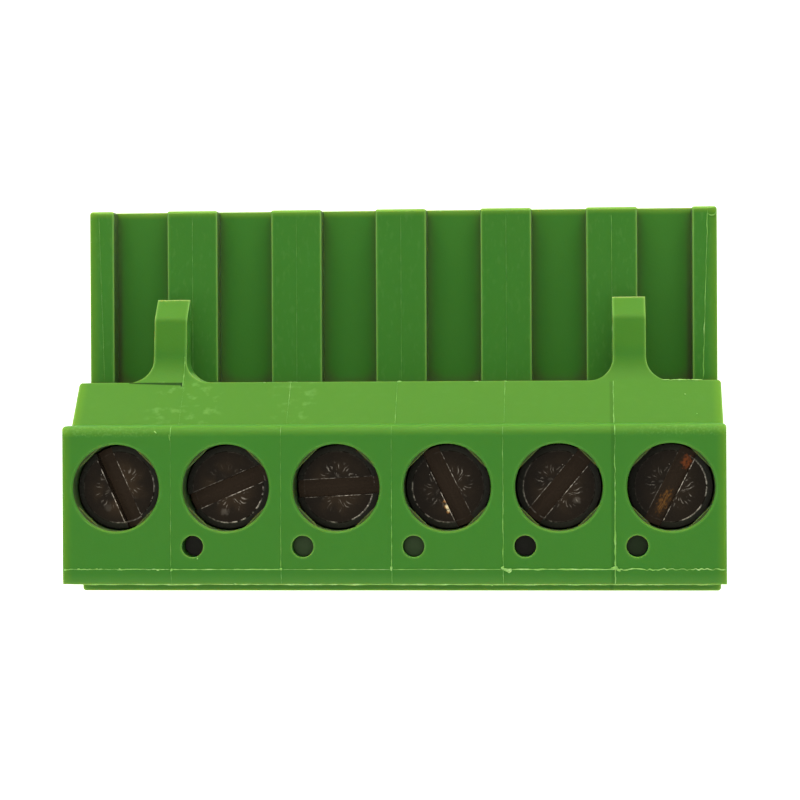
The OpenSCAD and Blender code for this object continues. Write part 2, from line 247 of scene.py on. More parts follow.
class FlashLook(bpy.types.PropertyGroup):
    """The thin flash that the mould left."""

    tint: colour("Flash", "Colour of the thin flash", (0.14, 0.38, 0.05))
    pale: colour("Pale flash", "Colour where the flash is thinnest", (0.3, 0.56, 0.17))
    # Colours of the sheets that paint the shade and dim light in the test holes: shallow, speckled and
    # deep
    gloom: colour("Gloom", "Colour of the film in a test hole", (0.09, 0.14, 0.065))
    speckle: colour("Speckle", "Colour of the dust on the film", (0.12, 0.16, 0.085))
    deep: colour("Deep film", "Colour of a film that lies deep", (0.11, 0.09, 0.09))
    width: length("Width", "Half width of a flash line", 0.03)
    height: length("Height", "Height of a flash line", 0.03)
    wander: length("Wander", "How far a flash line wanders sideways", 0.02)
    seed: IntProperty(name="Seed", description="Seed of the flash's irregular form", default=7)


class ScrewLook(bpy.types.PropertyGroup):
    """The clamp screws."""

    # The metal's own warm brown, painted dark for the dark room that its polished face reflects
    metal: colour("Metal", "Colour of the darkened metal", (0.0205, 0.0153, 0.0104))
    # Painted dark reflection on the head's left side
    shade: colour("Dark side", "Colour of the head's darker side", (0.009, 0.008, 0.0065))
    # Painted light on the head's chamfer, which the walls around it shade
    chamfer: colour("Chamfer", "Colour of the head's greyer chamfer", (0.105, 0.095, 0.085))
    brown: colour("Slot", "Colour of the slot's floor", (0.085, 0.056, 0.034))
    cast: colour("Brown cast", "Colour that browns parts of the head", (0.042, 0.028, 0.016))
    # Scratches, rubbed slot edges and smudges in exposed metal, and painted highlights on slot edges, rim
    # and glints
    bare_and_highlight: colour("Bare metal", "Colour of scratches and rubbed edges", (0.75, 0.68, 0.57))
    copper: colour("Copper", "Colour of the hatched copper patch", (0.62, 0.27, 0.06))
    # A red spot at the slot's end
    red_spot: colour("Red spot", "Colour of the red spot at the slot's end", (0.55, 0.15, 0.045))
    # Painted golden glint on one slot's edge
    gold: colour("Sparkle", "Colour of the golden nick", (1.0, 0.84, 0.5))
    sheen: factor("Sheen", "How metallic the darkened surface is", 0.15)
    roughness: factor("Roughness", "Roughness of the polished metal", 0.26)
    thread_pitch: length("Thread pitch", "Rise of the thread in one turn", 0.5)
    thread_depth: length("Thread depth", "Depth of the thread's groove", 0.28)


class PlatingLook(bpy.types.PropertyGroup):
    """The clamp cages and the contacts."""

    cage: colour("Cage", "Colour of the plated cage", (0.52, 0.5, 0.46))
    contact: colour("Contact", "Colour of the tinned contact", (0.62, 0.6, 0.55))
    stain: colour("Stain", "Colour of the dull stains", (0.25, 0.22, 0.17))
    rubbed: colour("Rubbed edge", "Colour of the rubbed edges", (0.85, 0.83, 0.78))
    edge: length("Edge", "Radius of the rubbed edges", 0.06)
    roughness: factor("Roughness", "Roughness of the plating", 0.32)


class StageLook(bpy.types.PropertyGroup):
    """The camera, the lights and the floor."""

    place: FloatVectorProperty(name="Camera", description="Place of the camera", subtype="TRANSLATION",
                               unit="LENGTH", default=(0.008401, 0.00015, 0.130596))
    turn: FloatVectorProperty(name="Camera turn", subtype="EULER", unit="ROTATION",
                              description="Turn of the camera from looking straight down",
                              default=tuple(math.radians(a) for a in (-0.131, 3.952, -0.275)))
    lens: FloatProperty(name="Lens", description="Focal length of the lens", default=114.43, min=1.0,
                        unit="CAMERA")
    dome: FloatProperty(name="Dome", description="Strength of the soft dome of light",
                        default=1.5, min=0.0)
    back: FloatProperty(name="Back light", description="Power of the low light behind the nose",
                        default=0.9, min=0.0, subtype="POWER")
    front: FloatProperty(name="Front light", description="Power of the low light in front of the wires",
                         default=0.5, min=0.0, subtype="POWER")
    warm: colour("Warm tint", "Colour of the low lights", (1.0, 0.85, 0.7))
    floor: colour("Floor", "Colour of the floor", (0.6, 0.6, 0.6))
    floor_glow: FloatProperty(name="Floor glow", description="Strength of the floor's own light",
                              default=1.0, min=0.0)


class BlockLooks(bpy.types.PropertyGroup):
    """All that a user would change."""

    plastic: PointerProperty(type=PlasticLook, name="Plastic", description="The green moulding")
    flash: PointerProperty(type=FlashLook, name="Flash", description="The thin flash on the moulding")
    screw: PointerProperty(type=ScrewLook, name="Screws", description="The clamp screws")
    plating: PointerProperty(type=PlatingLook, name="Plating", description="The cages and the contacts")
    stage: PointerProperty(type=StageLook, name="Stage", description="The camera, lights and floor")


class Field:
    """A value that changes over a surface: a node's output, with Python's operators for its maths."""

    def __init__(self, tree, socket=None):
        self.tree = tree
        self.socket = socket

    def node(self, kind, settings, inputs, output=0):
        """Adds a node of a kind, sets its settings and then its inputs, and gives one of its outputs.

        A ramp's stops are a setting: pairs of a position and a colour."""
        made = self.tree.nodes.new(kind)
        for name, value in settings.items():
            if name == "stops":
                while len(made.color_ramp.elements) < len(value):
                    made.color_ramp.elements.new(1.0)
                for stop, (position, tint) in zip(made.color_ramp.elements, value):
                    stop.position = position
                    stop.color = tint
            else:
                setattr(made, name, value)
        for key, value in inputs.items():
            if isinstance(value, Field):
                self.tree.links.new(value.socket, made.inputs[key])
            else:
                made.inputs[key].default_value = value
        return Field(self.tree, made.outputs[output])

    def math(self, operation, *values):
        return self.node("ShaderNodeMath", {"operation": operation}, dict(enumerate(values)))

    def __add__(self, other):
        return self.math("ADD", self, other)

    def __sub__(self, other):
        return self.math("SUBTRACT", self, other)

    def __rsub__(self, other):
        return self.math("SUBTRACT", other, self)

    def __mul__(self, other):
        return self.math("MULTIPLY", self, other)

    def __truediv__(self, other):
        return self.math("DIVIDE", self, other)

    def __pow__(self, other):
        return self.math("POWER", self, other)

    def __abs__(self):
        return self.math("ABSOLUTE", self)

    __radd__ = __add__
    __rmul__ = __mul__

    def rise(self, low, high):
        """Runs smoothly from 0 at low to 1 at high, or falls where low is above high."""
        return self.node("ShaderNodeMapRange", {"interpolation_type": "SMOOTHSTEP"},
                         {"Value": self, "From Min": low, "From Max": high})

    def band(self, middle, half, soft):
        """1 within half of the middle, falling to 0 over a soft edge."""
        return abs(self - middle).rise(half + soft, half)

    def between(self, one, zero):
        """The first value where this is 1, and the second where it is 0."""
        return self * (one - zero) + zero

    def mix(self, first, second):
        """The first colour where this is 0, and the second where it is 1."""
        return self.node("ShaderNodeMix", {"data_type": "RGBA"}, {0: self, 6: first, 7: second}, 2)

    def stretch(self, scale):
        """This place, multiplied along each axis."""
        return self.node("ShaderNodeVectorMath", {"operation": "MULTIPLY"}, {0: self, 1: scale})

    def parts(self):
        """The three coordinates of this place."""
        first = self.node("ShaderNodeSeparateXYZ", {}, {"Vector": self})
        return [Field(self.tree, output) for output in first.socket.node.outputs]

    def noise(self, scale, detail=2.0):
        """Soft noise around 0.5 at this place."""
        return self.node("ShaderNodeTexNoise", {}, {"Vector": self, "Scale": scale, "Detail": detail})

    def specks(self, scale, size, share):
        """Round specks of a size, in a share of the cells of a scale."""
        near = self.node("ShaderNodeTexVoronoi", {}, {"Vector": self, "Scale": scale})
        tint = Field(self.tree, near.socket.node.outputs["Color"])
        cell = self.node("ShaderNodeSeparateColor", {}, {"Color": tint})
        return near.rise(size, size / 2) * cell.rise(1 - share, 1.001 - share)


class Finish:
    """A material under way: its tree, its shader and the place on the object in millimetres."""

    def __init__(self, name, constants):
        self.material = bpy.data.materials.new(name)
        self.material.use_nodes = True
        tree = self.material.node_tree
        self.shader = tree.nodes["Principled BSDF"]
        for socket, value in constants.items():
            self.shader.inputs[socket].default_value = value
        self.start = Field(tree)
        self.here = self.start.node("ShaderNodeTexCoord", {}, {}, "Object")
        self.place = self.here.stretch((1 / MM, 1 / MM, 1 / MM))

    def feed(self, fields):
        """Links fields to the shader's inputs."""
        for socket, field in fields.items():
            field.tree.links.new(field.socket, self.shader.inputs[socket])
        return self.material

    def round_normal(self, radius):
        """The surface's normal with its edges rounded by a radius, in millimetres."""
        return self.start.node("ShaderNodeBevel", {"samples": 6}, {"Radius": radius * MM})

    def facing(self, direction):
        """1 where the surface faces a direction, and 0 where it lies along it."""
        normal = self.start.node("ShaderNodeNewGeometry", {}, {}, "Normal")
        return self.start.node("ShaderNodeVectorMath", {"operation": "DOT_PRODUCT"},
                               {0: normal, 1: direction}, "Value")

    def edges(self, rounded):
        """Grows from 0 on flats to 1 on edges, where the rounded normal turns from the surface's own."""
        return (1 - self.facing(rounded)).rise(0.01, 0.25)

    def open_air(self, reach, inside=False):
        """1 on open surfaces, less in corners and hollows within a reach, in millimetres.

        Inside the solid it is 1 under thick flats, and less under edges and thin walls."""
        return self.start.node("ShaderNodeAmbientOcclusion",
                               {"samples": 8, "only_local": True, "inside": inside},
                               {"Distance": reach * MM}, "AO")

    def bump(self, height, depth, normal):
        """A normal that follows a height field of a depth, in millimetres."""
        return self.start.node("ShaderNodeBump", {},
                               {"Distance": depth * MM, "Height": height, "Normal": normal})


class MouldedPlastic(Finish):
    """The green moulding's finish, with the places on it that differ from the rest."""

    def __init__(self, look):
        super().__init__("green_plastic", {
            "IOR": PLASTIC_IOR,
            "Specular IOR Level": look.gloss,
            "Subsurface Weight": 0.6,
            "Subsurface Radius": (1.0, 0.6, 0.2),
            "Subsurface Scale": look.glow,
        })
        self.look = look
        self.x, self.y, self.z = self.place.parts()
        self.upward = self.facing((0.0, 0.0, 1.0)).rise(0.2, 0.6)
        self.sloped = self.facing((0.0, 0.7, 0.714)).rise(0.71, 0.98)
        self.sideways = abs(self.facing((1.0, 0.0, 0.0)))
        self.nose = self.y.rise(SHOULDER, SHOULDER + 0.1)
        self.inner_nose = self.nose * abs(self.x).rise(HIGH[0] - 0.2, HIGH[0] - 0.3)
        self.ribs = self.nose * self.z.band(NOSE_TOP, 0.03, 0.03) * self.upward

    def row_distance(self, aside, depth):
        """Distance to the nearest of a row of holes, one aside of each screw and at one depth."""
        row = (self.x - aside) / PITCH + POLES / 2
        shift = (row.math("FRACT", row) - 0.5) * PITCH
        return (shift ** 2 + (self.y - depth) ** 2) ** 0.5

    def ends(self):
        """The outer ends, the end of the nose and the flats of the fingers, where light comes through."""
        size = self.look.end_size / MM
        sides = abs(self.x).rise(HIGH[0] - size, HIGH[0])
        nose_end = self.y.rise(HIGH[1] - size * 0.7, HIGH[1])
        fingers = self.y.rise(SHOULDER + 1.2, SHOULDER + 1.9)
        fingers = fingers * self.z.rise(NOSE_TOP + 0.2, NOSE_TOP + 0.3) * (1 - self.sloped)
        return (sides + nose_end * 1.8 + fingers * 0.42) * self.upward

    def painted_rim_light(self):
        """Painted light on the front of the face, the ledge under it and the rim at the end of the nose.
        """
        size = self.look.end_size / MM
        front = self.y.rise(FRONT_WALL + size, FRONT_WALL) * self.z.rise(FACE_Z - 0.5, FACE_Z - 0.4)
        ledge = self.y.rise(FRONT_WALL + 0.05, LOW[1])
        lip = self.y.rise(HIGH[1] - 0.3, HIGH[1])
        return (front * 0.5 + ledge * 0.9 + lip) * self.upward

    def thin_edges(self, shafts, probes):
        """The edges that light comes through, half as pale round the mouths of the holes."""
        mouth = shafts.band(SHAFT_RADIUS, 0.12, 0.1) + probes.band(PROBE_RADIUS, 0.12, 0.1)
        mouth = mouth * self.z.rise(FACE_Z - 0.2, FACE_Z - 0.1)
        return (1 - self.open_air(self.look.thin_size / MM, inside=True)) * (2 - mouth)

    def scuffs(self, rubbed):
        """Smears on the slope, fine ones at both ends of the face's rear edge, scratches on the ribs."""
        middle = (FACE_END + SHOULDER) / 2
        slope = self.y.band(middle, SLOPE_LENGTH / 2, 0.1) * self.z.band(SLOPE_Z - 1, 1.1, 0.1)
        places = sum(self.x.band(place, half, 0.5) for place, half in SCUFFS) + 0.1
        smear = self.place.stretch((1.2, 1.6, 1.6)).noise(1.6, 3.0).rise(0.5, 0.8)
        rear = self.y.band(FACE_END, 0.4, 0.2) * self.z.rise(FACE_Z - 0.5, FACE_Z - 0.3)
        rear = rear * abs(self.x).rise(*REAR_SCUFFS)
        scratches = self.place.stretch((2.6, 1.1, 1.0)).noise(2.0, 5.0).rise(0.52, 0.72)
        return smear * slope * places * 0.26 + rubbed * rear * 0.16 + scratches * self.ribs * 0.07

    def finger_step_shade(self):
        """Painted shade in the step under the left finger: a dark line that widens and ends in a notch.
        """
        run = (self.x - STEP_START) / (STEP_END - STEP_START)
        line = (abs(self.y - SHOULDER + 0.02 + run * 0.05) - run * 0.045).rise(0.04, 0.01)
        line = line * self.x.band((STEP_START + STEP_END) / 2, (STEP_END - STEP_START) / 2, 0.03)
        notch = self.x.band(STEP_END - 0.02, 0.02, 0.03) * self.y.band(SHOULDER - 0.12, 0.08, 0.04)
        return (line + notch) * self.z.rise(NOSE_TOP + 1, NOSE_TOP + 1.1)

    def seam_drop_shade(self):
        """Painted shade on a narrow strip where the face and the slope drop a little before the last
        seam.
        """
        strip = self.x.band(SEAM_X[-1] - 0.1, 0.03, 0.09)
        return strip * self.y.rise(SHOULDER, SHOULDER - 0.1) * self.upward

    def rib_edge_highlights(self):
        """Painted highlights on the round upper edges of the ribs."""
        edges = self.sideways.band(0.55, 0.2, 0.12) * self.z.rise(NOSE_TOP - 0.16, NOSE_TOP - 0.1)
        return edges * self.inner_nose

    def nose_shade(self):
        """Painted shade on the ribs' walls and in the channels' outer corners, growing towards the
        shoulder.
        """
        walls = self.sideways.rise(0.6, 0.9) * self.z.band(NOSE_TOP - 0.55, 0.5, 0.02)
        floors = self.z.rise(NOSE_TOP - 0.3, NOSE_TOP - 0.5) * self.y.rise(HIGH[1], SHOULDER + 2)
        corners = abs(self.x).rise(OUTER_RIB - 0.3, OUTER_RIB - 0.05) * floors * self.upward
        return corners + walls * self.inner_nose


def green_plastic(look):
    """Moulded plastic: clouded, painted shade in corners, painted light on slopes, paler at its edges,
    scuffed.
    """
    finish = MouldedPlastic(look)
    place = finish.place
    rounded = finish.round_normal(look.edge / MM)
    air = finish.open_air(look.corner_shade_reach / MM)
    shafts = finish.row_distance(0.0, AXES["screw_1"][1])
    probes = finish.row_distance(-PROBE_SIDE, FRONT_WALL + PROBE_INSET)
    # Painted shade down the screw shafts, below the face
    deep = finish.z.rise(FACE_Z - 0.05, FACE_Z - 0.15)
    inside = shafts.rise(SHAFT_RADIUS + 0.03, SHAFT_RADIUS + 0.01) * deep
    thin = finish.thin_edges(shafts, probes)
    rubbed = place.noise(9.0, 5.0).rise(0.46, 0.7)
    scuff = finish.scuffs(rubbed)
    patches = place.stretch((3.0, 0.5, 3.0)).noise(1.0, 3.0).rise(0.35, 0.65)
    # Painted highlight on rubbed convex edges, in patches
    wear_and_highlight = finish.edges(rounded) * air.rise(0.5, 0.9) * patches
    speck = place.specks(1.6, 0.09, 0.06) * thin

    tone = place.noise(0.22, 2.0).mix(look.base, look.cloud)
    # Painted warm light on the surfaces that slope to the rear
    tone = finish.sloped.mix(tone, look.slope_light)
    # Painted shade in inner corners, weaker on the ribs
    tone = (air.rise(0.85, 0.3) * (0.72 - finish.ribs * 0.5)).mix(tone, look.corner_shade)
    tone = (finish.ends() * 0.45).mix(tone, look.end)
    # Painted light on the front, the ledge and the nose's end rim, and paler edges where light comes
    # through
    tone = (finish.painted_rim_light() * 0.4 + thin * 0.7).mix(tone, look.thin)
    # Painted shade in the shafts, on the ribs' walls and in the channels' outer corners
    tone = (inside * 0.75 + finish.nose_shade() * 0.65).mix(tone, look.shaft_shade)
    # Painted shade in the step under a finger and beside the last seam
    tone = (finish.finger_step_shade() * 0.9 + finish.seam_drop_shade() * 0.22).mix(tone, look.gap)
    # Painted highlights on the ribs' round edges
    tone = (finish.rib_edge_highlights() * 0.7).mix(tone, look.thin)
    # Painted edge highlights, with the real scuffs and specks
    tone = (wear_and_highlight * 0.5 + scuff + speck).mix(tone, look.wear_and_highlight)
    return finish.feed({
        "Base Color": tone,
        "Roughness": look.roughness + (rubbed - 0.5) * 0.05 + scuff * 0.15,
        "Normal": finish.bump(place.noise(9.0, 3.0), 0.004, rounded),
    })


def thin_flash(look):
    """Thin flash: paler than the moulding, because light comes through it."""
    finish = Finish("thin_flash", {
        "IOR": PLASTIC_IOR,
        "Subsurface Weight": 0.3,
        "Subsurface Radius": (1.0, 0.7, 0.3),
        "Subsurface Scale": 0.2 * MM,
    })
    pale = finish.place.noise(3.0, 3.0)
    return finish.feed({
        "Base Color": pale.rise(0.45, 0.75).mix(look.tint, look.pale),
        "Roughness": 0.4 + pale * 0.2,
    })


def hole_shade_sheet(look):
    """A speckled sheet that paints the shade and dim light in a test hole, greyer where it lies deep."""
    finish = Finish("hole_shade_sheet", {"Specular IOR Level": 0.1})
    speckle = finish.place.noise(4.0, 4.0)
    deep = finish.place.parts()[2].rise(FACE_Z - 0.8, FACE_Z - 1.1)
    return finish.feed({
        "Base Color": deep.mix(speckle.mix(look.gloom, look.speckle), look.deep),
        "Roughness": 0.6 + speckle * 0.2,
    })


def oval(u, v, middle, half):
    """Squared distance from a middle, measured in half sizes, so that it is 1 on an oval's edge."""
    return ((u - middle[0]) / half[0]) ** 2 + ((v - middle[1]) / half[1]) ** 2


class ScrewWithPaintedReflection(Finish):
    """One screw's finish, with its place measured from the screw's axis along and across the slot."""

    def __init__(self, look, number):
        super().__init__(f"metal_with_painted_reflection_{number}", {"Specular IOR Level": 0.08, "Metallic": look.sheen})
        self.look = look
        self.number = number
        self.marks = SCREW_MARKS[number - 1]
        self.turn = math.radians(self.marks.turn)
        axis = AXES[f"screw_{number}"]
        self.local = self.start.node("ShaderNodeMapping", {"vector_type": "TEXTURE"}, {
            "Vector": self.here,
            "Location": (axis[0] * MM, axis[1] * MM, HEAD_TOP * MM),
            "Rotation": (0.0, 0.0, self.turn),
        }).stretch((1 / MM, 1 / MM, 1 / MM))
        self.along, self.across, self.up = self.local.parts()
        self.radius = (self.along ** 2 + self.across ** 2) ** 0.5
        self.left = self.across.rise(-0.01, 0.01)
        self.top = self.up.rise(-0.05, -0.02)
        self.floor = self.up.rise(-SLOT_DEPTH + 0.1, -SLOT_DEPTH + 0.03)
        self.glitter = self.local.noise(9.0, 2.0).rise(0.45, 0.62)

    def slot_edges(self):
        """The slot's edges, rubbed and with a painted highlight, each by its own share, broken along its
        length.
        """
        chain = self.local.stretch((1.7, 0.3, 0.3)).noise(1.0 + self.number * 0.07, 2.0).rise(0.4, 0.6)
        crumbs = self.local.stretch((9.0, 0.5, 0.5)).noise(1.0, 1.0).rise(0.42, 0.6)
        line = abs(self.across).band(SLOT_HALF + 0.01, 0.01, 0.014) * self.top
        line = line * self.radius.rise(FLAT_RADIUS, FLAT_RADIUS - 0.1) * (chain * (0.35 + crumbs * 0.65))
        return line * self.left.between(*self.marks.edges) * (0.55 + self.glitter * 0.7)

    def scratches(self):
        """Fine scratches that spread like hairs from the middle of each of these edges."""
        off = abs(self.across) - SLOT_HALF
        away = (self.along ** 2 + off ** 2) ** 0.5
        bend = self.local.noise(1.8 + self.number * 0.1, 2.0)
        fan = self.start.math("ARCTAN2", off, self.along) * 3.4 + bend * 3.0 + self.left * 0.37
        hair = abs(fan.math("FRACT", fan) - 0.5).rise(0.2, 0.06)
        patches = self.local.noise(2.6 + self.number * 0.13, 3.0).rise(0.46, 0.64)
        zone = away.band(0.36, 0.2, 0.28) * patches * self.top
        return hair * zone * self.left.between(*self.marks.bursts)

    def rim(self):
        """Painted highlight on the edge of the head's flat, bright on one side and broken all round."""
        aim = math.radians(self.marks.rim_turn) - self.turn
        side = (self.along * math.cos(aim) + self.across * math.sin(aim)).rise(0.3, 1.6)
        angle = self.start.math("ARCTAN2", self.across, self.along)
        round_place = {0: angle * 2.5, 1: self.number * 3.1, 2: self.radius}
        chips = self.start.node("ShaderNodeCombineXYZ", {}, round_place).noise(2.2, 4.0).rise(0.4, 0.56)
        ring = self.radius.band(FLAT_RADIUS, 0.014, 0.03) * chips
        return ring * (side * self.marks.rim + 0.04) * (0.5 + self.glitter)

    def head_tone(self):
        """Painted dark reflection on the head's left, brown clouds, a smudge and painted light on its
        chamfer.
        """
        look = self.look
        brown = self.marks.brown
        right = self.along * math.cos(self.turn) - self.across * math.sin(self.turn)
        back = self.along * math.sin(self.turn) + self.across * math.cos(self.turn)
        # Painted light on the chamfer, which the walls around it shade
        chamfer = self.radius.rise(FLAT_RADIUS, FLAT_RADIUS + 0.04) * self.up.rise(-0.4, -0.3)
        # Painted dark reflection on the head's left
        dark = right.rise(0.7, -1.3) * (1 - brown * 0.6) * 0.6
        cloud = self.local.noise(0.7 + self.number * 0.05, 2.0).rise(0.4, 0.6)
        x, y, strength = self.marks.smudge
        ragged = (self.local.noise(5.0, 2.0) - 0.5) * 0.1
        smudge = ((right - x) ** 2 + (back - y) ** 2 + ragged).rise(0.05, 0.0)
        tone = chamfer.mix(look.metal, look.chamfer)
        tone = dark.mix(tone, look.shade)
        tone = (cloud * self.radius.rise(1.7, 0.7) * brown).mix(tone, look.cast)
        return (smudge * self.top * strength * 0.08).mix(tone, look.bare_and_highlight)

    def slot_tone(self, tone):
        """The slot's brown floor over a tone, with a hatched copper patch and a red spot at its end."""
        look = self.look
        copper = self.marks.copper
        streak = self.local.stretch((0.5, 9.0, 2.0)).noise(1.0, 3.0)
        hatch = self.local.stretch((2.0, 20.0, 2.0)).noise(1.0, 2.0).rise(0.42, 0.58)
        rough = (self.local.noise(8.0, 3.0) - 0.5) * 4.0
        patch = (oval(self.along, self.across, (-0.8, -0.08), (0.62, 0.25)) + rough).rise(1.5, -0.6)
        spot = (oval(self.along, self.across, (1.34, -0.18), (0.34, 0.26)) + rough).rise(1.4, -0.4)
        tone = (self.floor * (0.55 + streak * 0.6)).mix(tone, look.brown)
        tone = (patch * (0.2 + hatch * 0.7) * self.floor * copper).mix(tone, look.copper)
        return (spot * self.floor * copper).mix(tone, look.red_spot)

    def glint_tone(self, tone):
        """A painted golden glint on the slot's edge over a tone, with a copper fringe."""
        along, across = self.along, self.across
        fringe = along.band(GLINT_ALONG + 0.1, 0.25, 0.15) * across.band(SLOT_HALF + 0.06, 0.06, 0.08)
        fringe = fringe * self.top * self.local.noise(8.0, 2.0).rise(0.48, 0.6)
        sparkle = along.band(GLINT_ALONG, 0.09, 0.13) * across.band(SLOT_HALF + 0.04, 0.04, 0.06)
        sparkle = sparkle * self.top * self.local.noise(4.0, 2.0).rise(0.3, 0.5)
        tone = (fringe * 0.5).mix(tone, self.look.copper)
        return sparkle.mix(tone, self.look.gold)


def metal_with_painted_reflection(look, number):
    """Polished metal painted dark for the room it reflects, rubbed slot edges, scratches, painted rim
    highlights.
    """
    finish = ScrewWithPaintedReflection(look, number)
    local = finish.local
    # Painted glints and highlights on the slot edges and rim, over exposed metal of scratches and rubbing
    glint = local.specks(2.2, 0.05, 0.08) * finish.top
    bare_and_highlight = finish.slot_edges() * 1.2 + finish.scratches() * 0.45 + finish.rim() * 1.1 + glint * 0.5
    tone = bare_and_highlight.mix(finish.slot_tone(finish.head_tone()), look.bare_and_highlight)
    # A painted golden glint on one screw's slot edge
    if number == GLINTED_SCREW:
        tone = finish.glint_tone(tone)
    mottle = local.noise(3.0 + number * 0.11, 3.0)
    return finish.feed({
        "Base Color": tone,
        "Roughness": look.roughness + (mottle - 0.5) * 0.2 + bare_and_highlight * 0.3,
        "Normal": finish.bump(local.noise(4.0, 2.0), 0.006, finish.round_normal(0.03)),
    })


def plated_metal(look, name, tint):
    """Plated sheet metal: faint rolling lines, dull stains and brighter edges."""
    finish = Finish(name, {"Metallic": 1.0})
    place = finish.place
    lines = place.stretch((6.0, 0.4, 6.0)).noise(2.0, 4.0)
    stain = place.noise(0.8, 4.0).rise(0.5, 0.75)
    rounded = finish.round_normal(look.edge / MM)
    tone = (stain * 0.3).mix(tint, look.stain)
    tone = (finish.edges(rounded) * 0.4).mix(tone, look.rubbed)
    return finish.feed({
        "Base Color": tone,
        "Roughness": look.roughness + lines * 0.18 + stain * 0.15,
        "Normal": finish.bump(lines, 0.006, rounded),
    })


def closed_skin(rings):
    """Points of a skin over rings of points, and its faces: walls, then a fan over each end's ring.

    Point j of a ring joins point j + 1 of its ring and the same two points of the next ring."""
    count, around = rings.shape[:2]
    here = np.arange(around)
    after = (here + 1) % around
    base = np.arange(count - 1)[:, None] * around
    walls = np.stack([base + here, base + after, base + around + after, base + around + here], -1)
    hub = np.full(around, count * around)
    end = (count - 1) * around
    first = np.stack([after, here, hub], -1)
    last = np.stack([here + end, after + end, hub + 1], -1)
    points = np.concatenate([rings.reshape(-1, 3), [rings[0].mean(0), rings[-1].mean(0)]])
    return points, [walls.reshape(-1, 4), first, last]


def wander(count, knots, draw):
    """Smooth random values from -1 to 1: seeded knots, eased from each one to the next."""
    values = draw.uniform(-1, 1, knots)
    t = np.linspace(0, knots - 1, count)
    k = np.minimum(t.astype(int), knots - 2)
    s = t - k
    ease = s * s * (3 - 2 * s)
    return values[k] * (1 - ease) + values[k + 1] * ease


def ridge(path, sideways, up, width, height):
    """A low line of flash along a path: half an ellipse over the surface, with a shallow keel in it.

    Width and height have one value for each point of the path."""
    sides = 10
    keel = 0.012
    turn = np.linspace(0, 2 * np.pi, sides, endpoint=False)
    lift = np.sin(turn)
    over = np.clip(lift, 0, None) * height[:, None] + np.clip(lift, None, 0) * keel
    out = np.cos(turn) * width[:, None]
    return closed_skin(path[:, None] + out[..., None] * sideways + over[..., None] * up)


def grain(place, half, turn, draw):
    """A grain of plastic: an ellipsoid whose radius swells and shrinks with its two angles."""
    around = np.linspace(0, 2 * np.pi, 14, endpoint=False)
    rise = np.linspace(-1.35, 1.35, 9)[:, None]
    phase = draw.uniform(0, 2 * np.pi, 3)
    swell = 1 + 0.16 * np.sin(2 * around + phase[0]) + 0.12 * np.sin(3 * around + 4 * rise + phase[1])
    u = half[0] * swell * np.cos(rise) * np.cos(around)
    v = half[1] * swell * np.cos(rise) * np.sin(around)
    w = half[2] * np.sin(rise) * np.ones_like(around)
    c = math.cos(math.radians(turn))
    s = math.sin(math.radians(turn))
    return closed_skin(np.stack([c * u - s * v, s * u + c * v, w], -1) + place)


def shade_sheet_disc(place, radius, thickness):
    """A thin round sheet: a lens whose half thickness falls to nothing at its edge."""
    around = np.linspace(0, 2 * np.pi, 32, endpoint=False)
    reach = np.array([0.2, 0.6, 0.9, 1.0, 0.9, 0.6, 0.2])[:, None]
    level = np.sign(np.arange(-3, 4))[:, None] * np.sqrt(1.0001 - reach ** 2) * thickness
    rings = [radius * reach * np.cos(around), radius * reach * np.sin(around), level + 0 * around]
    return closed_skin(np.stack(rings, -1) + place)


def threaded_shank(axis, turns, low, high, radius, pitch, depth):
    """A screw's shank: its radius less a V groove whose phase grows with height and falls with turn.

    The groove fades out under the head, and the end has a chamfer."""
    per_pitch = 12
    steps = int(round((high - low) / pitch * per_pitch))
    level = np.linspace(low, high, steps)[:, None]
    phase = (level / pitch - turns / (2 * np.pi)) % 1
    groove = np.clip(1.3 - np.abs(2 * phase - 1) * 1.6, 0, 1)
    fade = np.clip((high - 0.6 - level) / 0.4, 0, 1)
    chamfer = np.clip(SHANK_CHAMFER - (level - low), 0, None)
    reach = radius - depth * groove * fade - chamfer * (1 - groove)
    rings = [axis[0] + reach * np.cos(turns), axis[1] + reach * np.sin(turns), level + 0 * turns]
    return closed_skin(np.stack(rings, -1))


def joined(skins):
    """The points of several skins as one array, and their faces as one list."""
    faces = []
    start = 0
    for points, kinds in skins:
        for corners in kinds:
            faces += (corners + start).tolist()
        start += len(points)
    return np.concatenate([points for points, _ in skins]), faces


def new_piece(name, skins, material, body=""):
    """A smooth-shaded object made of skins in millimetres, riding on a body if one is named."""
    points, faces = joined(skins)
    mesh = bpy.data.meshes.new(name)
    mesh.from_pydata((points * MM).tolist(), [], faces)
    mesh.polygons.foreach_set("use_smooth", np.ones(len(mesh.polygons), bool))
    mesh.materials.append(material)
    piece = bpy.data.objects.new(name, mesh)
    bpy.context.scene.collection.objects.link(piece)
    if body:
        close_up(mesh)
        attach(piece, body)
    return piece


def close_up(mesh):
    """Merges doubled points and turns every face outwards."""
    work = bmesh.new()
    work.from_mesh(mesh)
    bmesh.ops.remove_doubles(work, verts=work.verts, dist=NEAR * MM)
    bmesh.ops.recalc_face_normals(work, faces=work.faces)
    work.to_mesh(mesh)
    work.free()


def dress(names, material):
    """Gives CAD nodes a material."""
    for name in names:
        node = frame["nodes"][name]
        node.data.materials.clear()
        node.data.materials.append(material)


def face_height(y):
    """Height of the moulding's top over a place from the wire side: bevel and face, slope, then ribs."""
    upper = np.interp(y, [FRONT_WALL, FACE_START, FACE_END], [FRONT_Z, FACE_Z, FACE_Z])
    slope = np.interp(y, [FACE_END, SHOULDER], [SLOPE_Z, FOOT_Z])
    return np.where(y <= FACE_END, upper, np.where(y <= SHOULDER, slope, NOSE_TOP))


